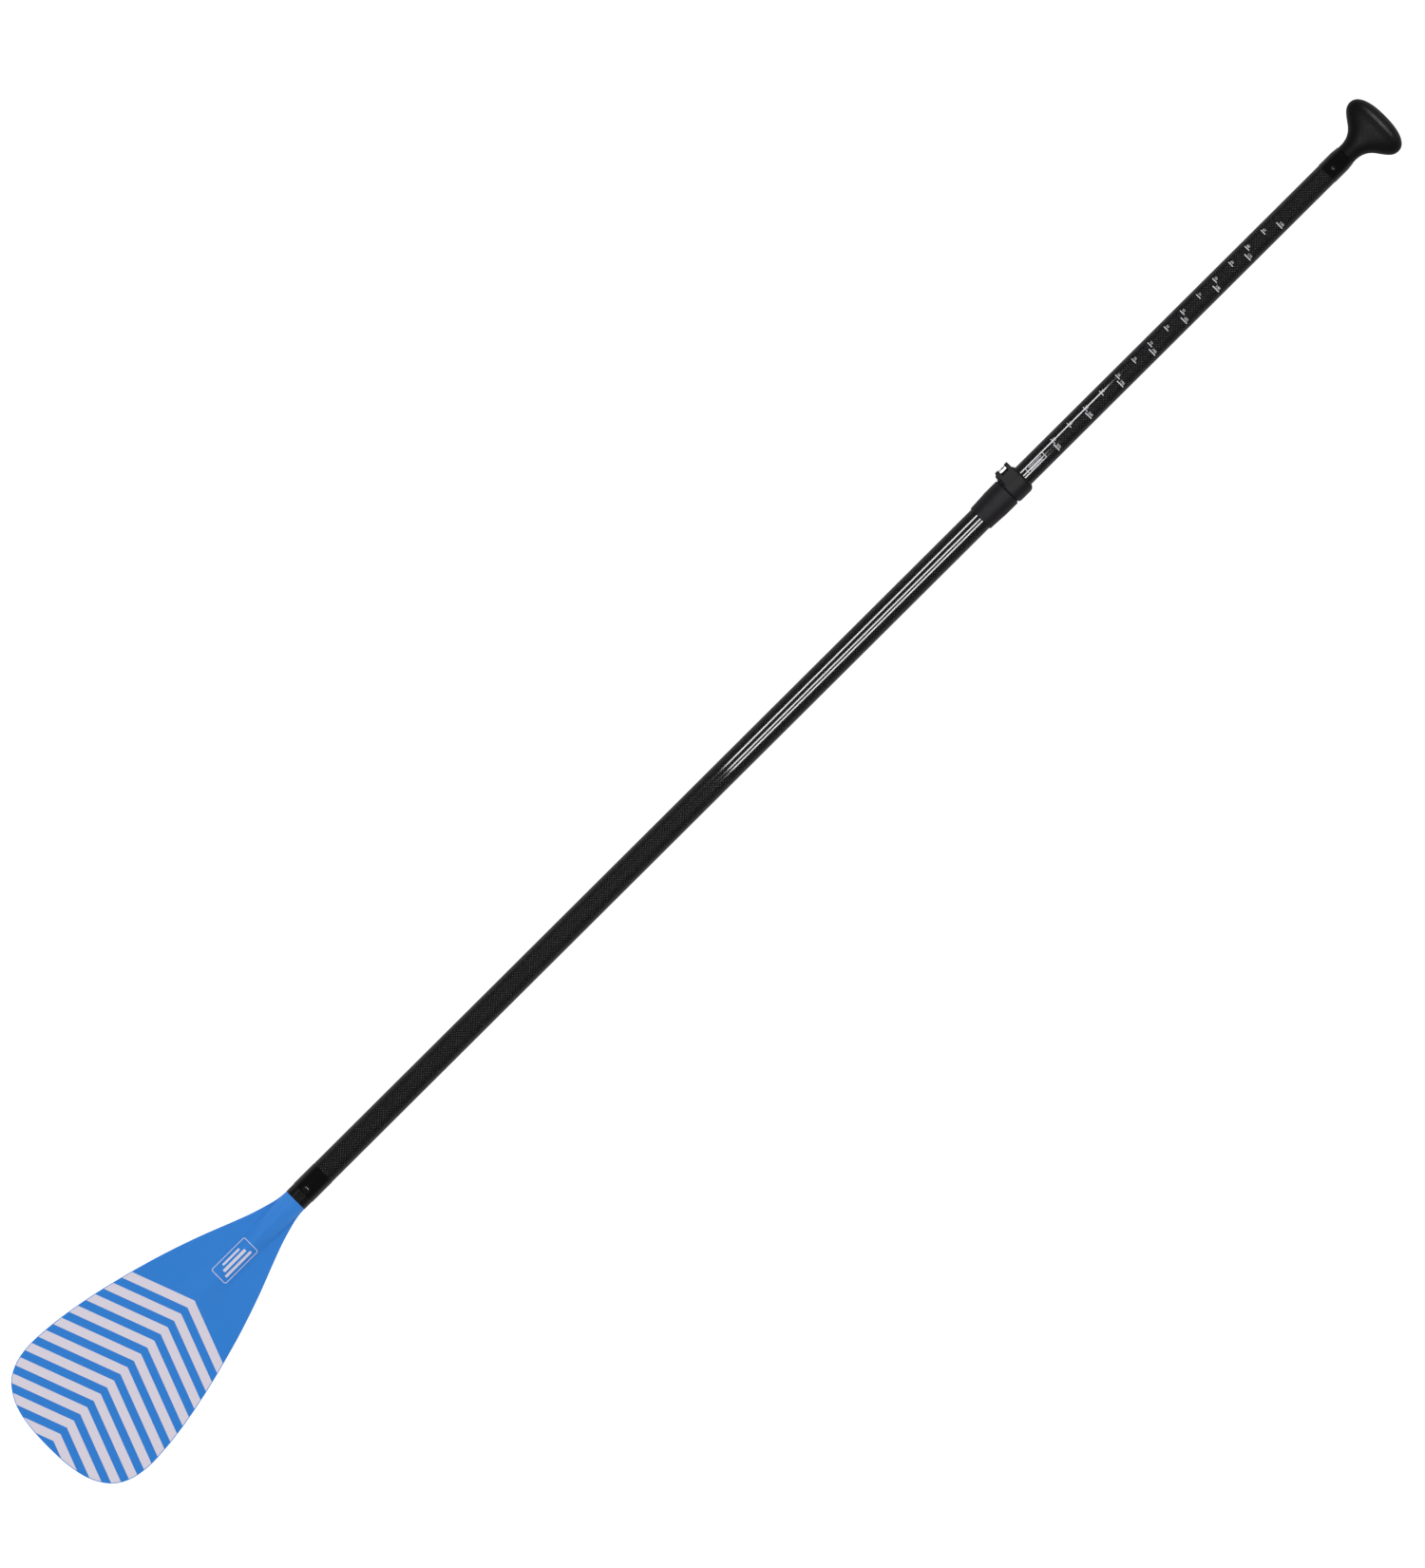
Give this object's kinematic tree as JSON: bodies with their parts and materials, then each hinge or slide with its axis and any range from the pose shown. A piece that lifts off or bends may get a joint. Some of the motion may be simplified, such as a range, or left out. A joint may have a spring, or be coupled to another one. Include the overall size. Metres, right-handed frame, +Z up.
{
  "type": "single blade paddle",
  "caption": "Adjustable stand-up paddle: wide flat teardrop blade, two-part telescoping round shaft with lever clamp, snap-button blade joint and T-shaped palm grip.",
  "frame": {"origin": "middle of the paddle's box on the surface it lies on, with the shaft fully extended", "axes": "+X along the shaft from the blade tip to the palm grip; +Z up, the normal of the printed blade face; +Y completes the right-handed frame, towards the clamp lever's hinge"},
  "size_m": [2.1, 0.1902, 0.0726],
  "materials": {
    "blade_plastic": "satin moulded plastic with pale printed stripes",
    "ferrule_plastic": "moulded glass-filled nylon",
    "spring_steel": "bright spring steel",
    "button_plastic": "polished",
    "carbon_tube": "carbon plain weave under clear coat",
    "ring_black": "satin black",
    "sleeve_black": "gloss black",
    "foam": "closed-cell foam",
    "clamp_plastic": "satin moulded nylon",
    "liner_plastic": "smooth acetal",
    "steel_bright": "stainless, turned",
    "lever_plastic": "satin moulded nylon",
    "rivet_black": "gloss black",
    "grip_plastic": "fine leather-grained moulding"
  },
  "bodies": {
    "lower_shaft": {"lower_tube": "carbon_tube", "shaft_end_ring": "ring_black", "shaft_end_sleeve": "sleeve_black", "lower_tube_plug": "foam", "clamp_body": "clamp_plastic", "clamp_liner": "liner_plastic", "lever_pin": "steel_bright", "tension_bolt": "steel_bright", "tension_nut": "steel_bright"},
    "blade_unit": {"blade": "blade_plastic", "blade_ferrule": "ferrule_plastic", "ferrule_plug": "ferrule_plastic", "button_spring": "spring_steel"},
    "button": {"snap_button": "button_plastic"},
    "lever": {"clamp_lever": "lever_plastic"},
    "guide": {"glide_ring": "liner_plastic"},
    "upper_shaft": {"upper_tube": "carbon_tube", "upper_tube_plug": "ferrule_plastic", "grip_sleeve": "sleeve_black", "grip_spigot": "ferrule_plastic", "grip_rivet": "rivet_black", "palm_grip": "grip_plastic"}
  },
  "joints": [
    {"name": "length_adjust", "type": "slide", "parent": "lower_shaft", "child": "guide", "axis": [1, 0, 0], "range_m": [-0.4, 0]},
    {"name": "grip_twist", "type": "hinge", "parent": "guide", "child": "upper_shaft", "pos_m": [0.326, 0, 0.0175], "axis": [1, 0, 0], "continuous": true},
    {"name": "clamp_lever_swing", "type": "hinge", "parent": "lower_shaft", "child": "lever", "pos_m": [0.47, 0.0204, 0.0271], "axis": [-1, 0, 0], "range_deg": [0, 125]},
    {"name": "blade_pull", "type": "slide", "parent": "lower_shaft", "child": "blade_unit", "axis": [-1, 0, 0], "range_m": [0, 0.15]},
    {"name": "button_press", "type": "slide", "parent": "blade_unit", "child": "button", "axis": [0, 0, -1], "range_m": [0, 0.0045], "stiffness_N_per_m": 700, "springref_m": -0.004, "deforming": ["button_spring"]}
  ]
}
